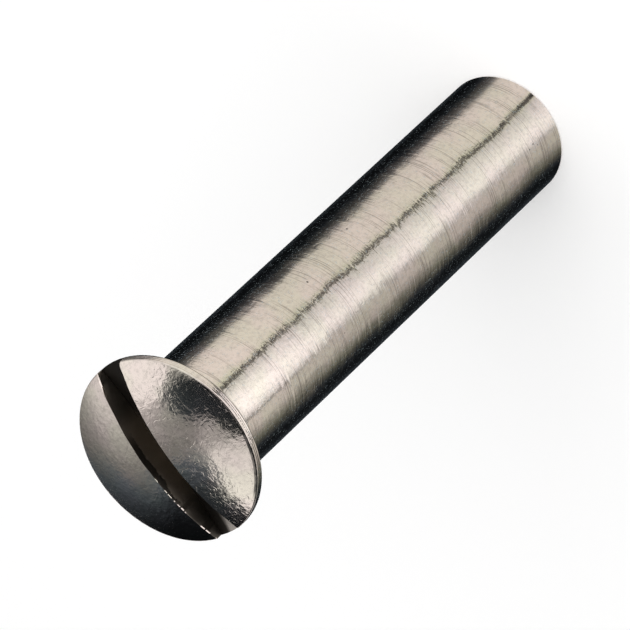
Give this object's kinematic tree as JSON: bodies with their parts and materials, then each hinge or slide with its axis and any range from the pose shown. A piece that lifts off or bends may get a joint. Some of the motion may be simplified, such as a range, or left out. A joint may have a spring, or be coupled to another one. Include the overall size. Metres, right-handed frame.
{
  "type": "sleeve nut",
  "caption": "Sleeve nut: a long smooth sleeve with a blind internal thread under a thin raised countersunk head with a straight screwdriver slot.",
  "frame": {"origin": "centre of the open end's flat face, on the axis of the sleeve", "axes": "+Z along the sleeve to the head, Y along the screwdriver slot"},
  "size_m": [0.0118, 0.0118, 0.0406],
  "materials": {
    "plated_steel": "bright nickel plating over turned and tumbled steel, with fine turning lines on the sleeve and small dents on the head"
  },
  "bodies": {
    "root": {"sleeve_nut": "plated_steel"}
  },
  "joints": []
}
